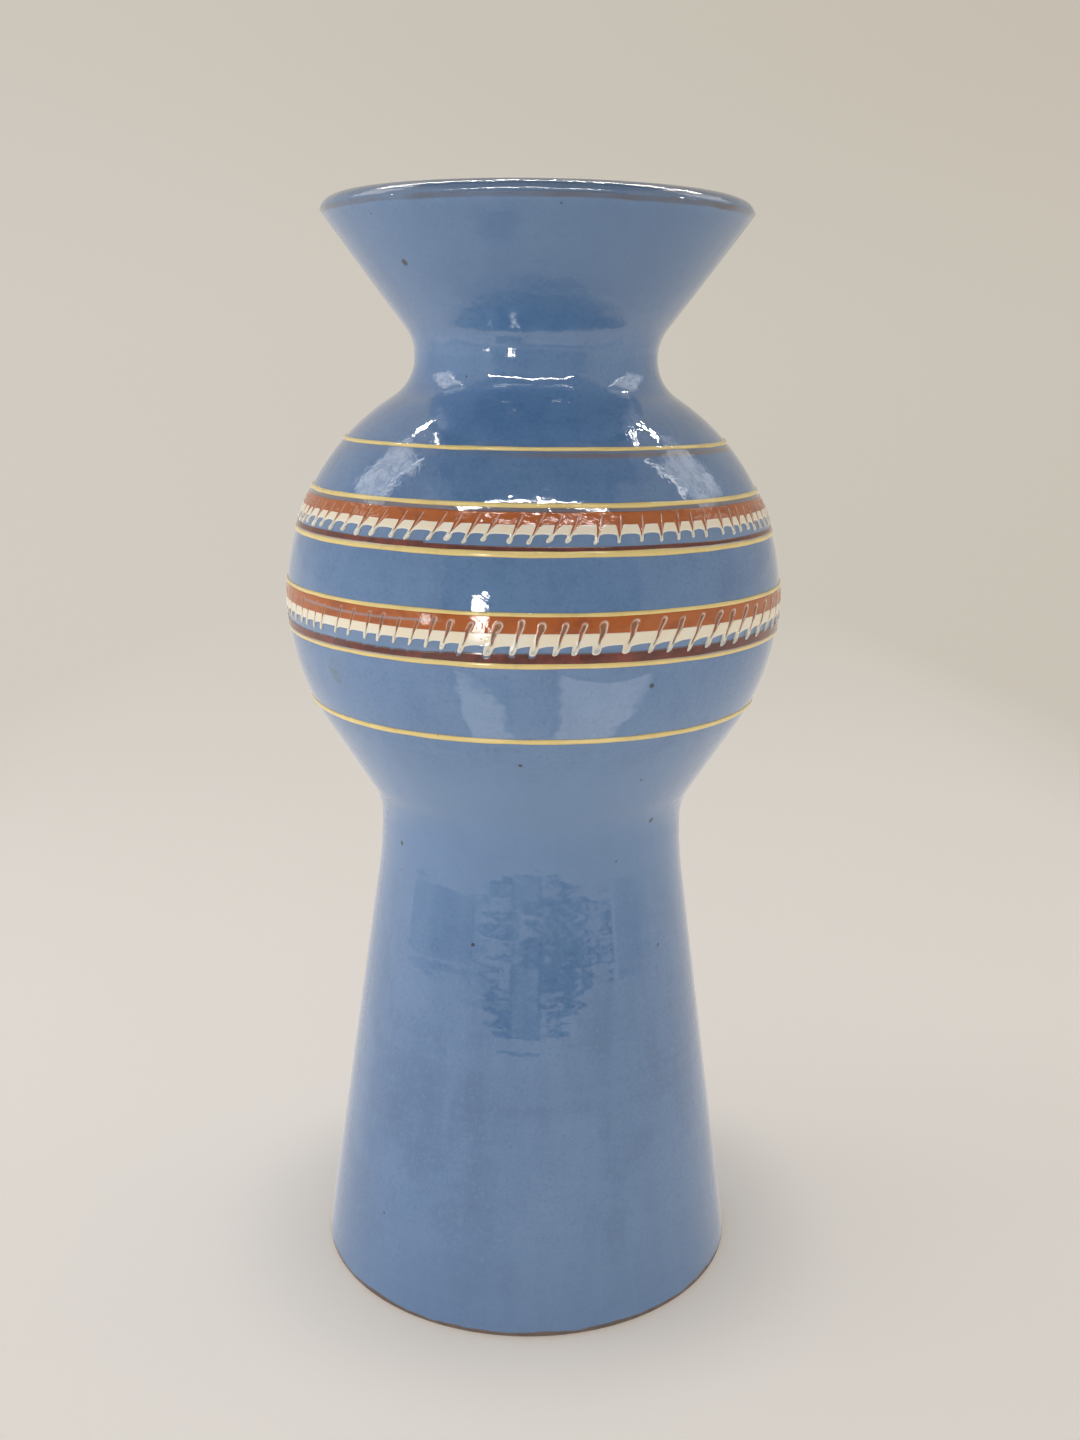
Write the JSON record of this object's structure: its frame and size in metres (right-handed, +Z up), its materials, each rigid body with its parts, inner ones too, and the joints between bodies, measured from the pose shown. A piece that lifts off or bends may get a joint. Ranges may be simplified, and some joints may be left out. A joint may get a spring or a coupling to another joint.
{
  "type": "ceramic vase",
  "caption": "Tall glazed ceramic vase: tapering hollow pedestal, ball-shaped belly with feathered slip bands, and a flaring funnel mouth that holds flowers.",
  "frame": {"origin": "centre of the foot ring, on the surface the vase stands on", "axes": "+Z up along the vase's turning axis, from the foot to the mouth; -Y faces the viewer of the picture"},
  "size_m": [0.1608, 0.1608, 0.35],
  "materials": {
    "blue_glaze": "glossy grey-blue glaze over fired clay",
    "yellow_slip": "raised straw-yellow slip line under clear glaze",
    "terracotta_slip": "terracotta slip under clear glaze",
    "cream_slip": "feathered cream slip under clear glaze",
    "brown_slip": "dark brown slip under clear glaze"
  },
  "bodies": {
    "root": {"pedestal": "blue_glaze", "globe": "blue_glaze", "funnel": "blue_glaze", "shoulder_line": "yellow_slip", "upper_band_top_line": "yellow_slip", "upper_terracotta_stripe": "terracotta_slip", "upper_cream_stripe": "cream_slip", "upper_brown_stripe": "brown_slip", "upper_band_base_line": "yellow_slip", "lower_band_top_line": "yellow_slip", "lower_terracotta_stripe": "terracotta_slip", "lower_cream_stripe": "cream_slip", "lower_brown_stripe": "brown_slip", "lower_band_base_line": "yellow_slip", "belly_line": "yellow_slip"}
  },
  "joints": []
}
